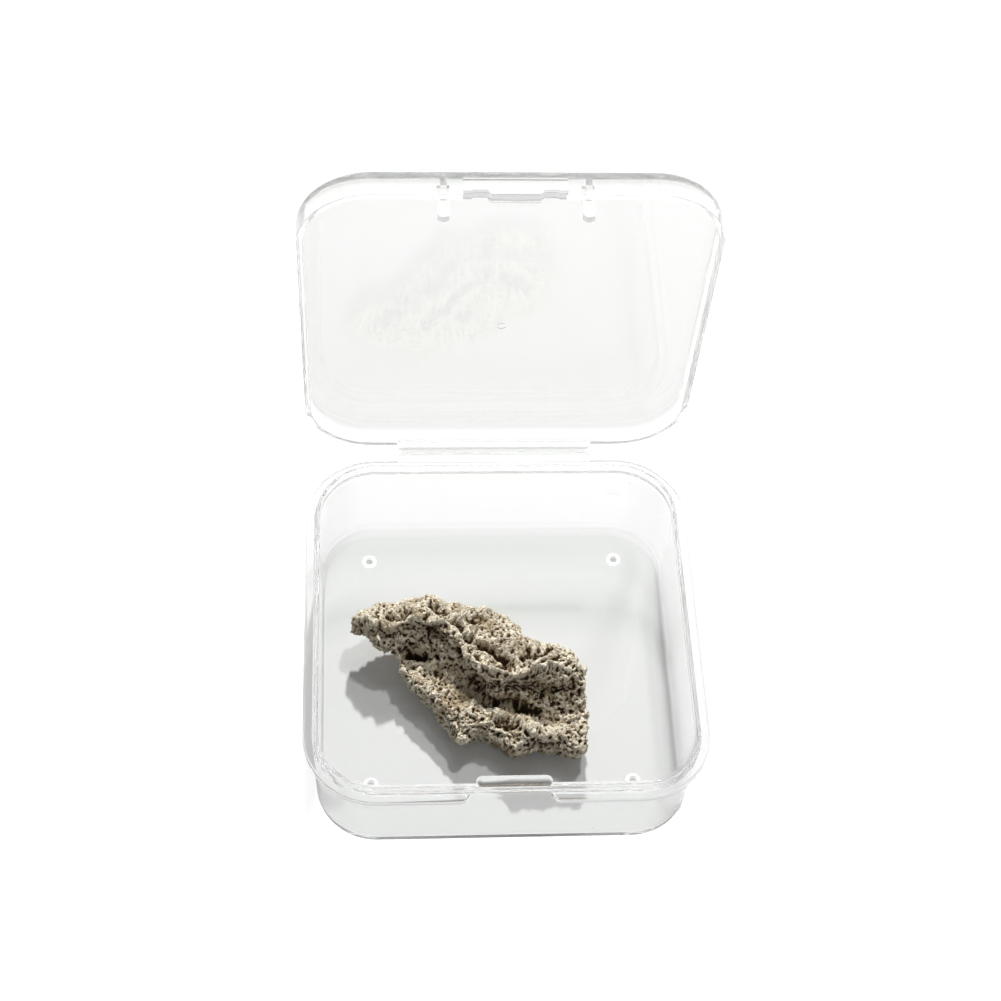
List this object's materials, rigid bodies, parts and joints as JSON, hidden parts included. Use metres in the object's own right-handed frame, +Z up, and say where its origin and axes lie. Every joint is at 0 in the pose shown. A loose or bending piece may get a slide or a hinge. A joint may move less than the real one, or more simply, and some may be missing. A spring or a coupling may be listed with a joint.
{
  "type": "mineral specimen box",
  "caption": "Square clear plastic display box with rounded corners, a living-hinge lid and front snap catch, holding a rough mineral specimen.",
  "frame": {"origin": "centre of the flat underside of the tray", "axes": "+Z up, -Y towards the front with the catch, +Y towards the hinge, +X to the right seen from the front; the lid stands open at rest"},
  "size_m": [0.055, 0.0607, 0.0731],
  "materials": {
    "clear_plastic": "gloss",
    "mineral": "matte"
  },
  "bodies": {
    "tray": {"base_tray": "clear_plastic", "hinge_film": "clear_plastic"},
    "lid": {"lid": "clear_plastic"},
    "specimen": {"specimen": "mineral"}
  },
  "joints": [
    {"name": "lid_hinge", "type": "hinge", "parent": "tray", "child": "lid", "pos_m": [0, 0.029, 0.01575], "axis": [-1, 0, 0], "range_deg": [-88.4, 91.6]},
    {"name": "specimen_lift", "type": "slide", "parent": "tray", "child": "specimen", "axis": [0, 0, 1], "range_m": [0, 0.04]}
  ]
}
